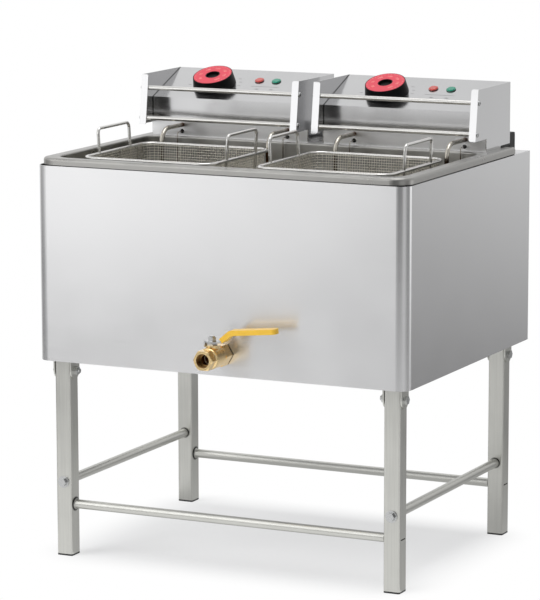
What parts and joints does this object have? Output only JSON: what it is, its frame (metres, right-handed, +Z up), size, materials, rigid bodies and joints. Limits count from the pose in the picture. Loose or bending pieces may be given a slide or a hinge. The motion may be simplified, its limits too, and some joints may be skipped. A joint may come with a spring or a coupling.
{
  "type": "floor deep fryer",
  "caption": "Floor-standing electric deep fryer: stainless housing on square legs, one well, lift-out heating heads with dials, wire baskets and a drain ball valve.",
  "frame": {"origin": "on the floor, below the middle of the overall length and width, drain valve included", "axes": "+X to the right seen from the front, +Y to the back, +Z up"},
  "size_m": [0.7, 0.625, 0.8291],
  "materials": {
    "stainless": "brushed",
    "leg_steel": "satin",
    "wire": "bright drawn wire",
    "mesh": "woven wire",
    "fastener": "zinc bright",
    "element_sheath": "heat tinted",
    "brass": "cast and machined",
    "ptfe": "smooth",
    "yellow_vinyl": "dipped vinyl",
    "black_plastic": "moulded",
    "black_rubber": "moulded",
    "knob_black": "semi gloss",
    "knob_red": "semi gloss",
    "lamp_red": "translucent",
    "lamp_green": "translucent",
    "control": "moulded"
  },
  "bodies": {
    "housing": {"leg_front_left": "leg_steel", "leg_front_right": "leg_steel", "leg_rear_left": "leg_steel", "leg_rear_right": "leg_steel", "stretcher_front": "leg_steel", "stretcher_rear": "leg_steel", "stretcher_left": "leg_steel", "stretcher_right": "leg_steel", "stretcher_bolts": "fastener", "leg_bolts": "fastener", "leg_brackets": "leg_steel", "foot_plugs": "black_plastic", "jacket": "stainless", "rear_panel": "stainless", "base_pan": "stainless", "tank": "stainless", "valve_body": "brass", "valve_end": "brass", "valve_seats": "ptfe", "packing_nut": "brass", "head_rests": "black_rubber"},
    "drain_handle": {"valve_ball": "fastener", "valve_stem": "brass", "drain_lever": "fastener", "lever_sleeve": "yellow_vinyl", "lever_nut": "fastener"},
    "left_head": {"left_head_cheeks": "stainless", "left_head_panel": "stainless", "left_head_back": "stainless", "left_element_plate": "stainless", "left_basket_rods": "wire", "left_rod_screws": "fastener", "left_element": "element_sheath", "left_element_nuts": "brass", "left_thermostat": "control", "left_high_limit": "control", "left_lamp_red": "lamp_red", "left_lamp_green": "lamp_green", "left_cable_gland": "black_plastic"},
    "left_dial": {"left_knob": "knob_black", "left_knob_face": "knob_red"},
    "left_basket": {"left_basket_frame": "wire", "left_basket_mesh": "mesh"},
    "right_head": {"right_head_cheeks": "stainless", "right_head_panel": "stainless", "right_head_back": "stainless", "right_element_plate": "stainless", "right_basket_rods": "wire", "right_rod_screws": "fastener", "right_element": "element_sheath", "right_element_nuts": "brass", "right_thermostat": "control", "right_high_limit": "control", "right_lamp_red": "lamp_red", "right_lamp_green": "lamp_green", "right_cable_gland": "black_plastic"},
    "right_dial": {"right_knob": "knob_black", "right_knob_face": "knob_red"},
    "right_basket": {"right_basket_frame": "wire", "right_basket_mesh": "mesh"}
  },
  "joints": [
    {"name": "drain_turn", "type": "hinge", "parent": "housing", "child": "drain_handle", "pos_m": [0.0095, -0.2755, 0.415], "axis": [0, 0, 1], "range_deg": [-90, 0]},
    {"name": "left_head_lift", "type": "slide", "parent": "housing", "child": "left_head", "axis": [0, 0, 1], "range_m": [0, 0.2]},
    {"name": "left_knob_turn", "type": "hinge", "parent": "left_head", "child": "left_dial", "pos_m": [-0.227, 0.20969, 0.79649], "axis": [0, -0.3685, 0.9296], "range_deg": [-270, 0]},
    {"name": "left_basket_lift", "type": "slide", "parent": "left_head", "child": "left_basket", "axis": [0, 0, 1], "range_m": [0, 0.22]},
    {"name": "right_head_lift", "type": "slide", "parent": "housing", "child": "right_head", "axis": [0, 0, 1], "range_m": [0, 0.2]},
    {"name": "right_knob_turn", "type": "hinge", "parent": "right_head", "child": "right_dial", "pos_m": [0.116, 0.20969, 0.79649], "axis": [0, -0.3685, 0.9296], "range_deg": [-270, 0]},
    {"name": "right_basket_lift", "type": "slide", "parent": "right_head", "child": "right_basket", "axis": [0, 0, 1], "range_m": [0, 0.22]}
  ]
}
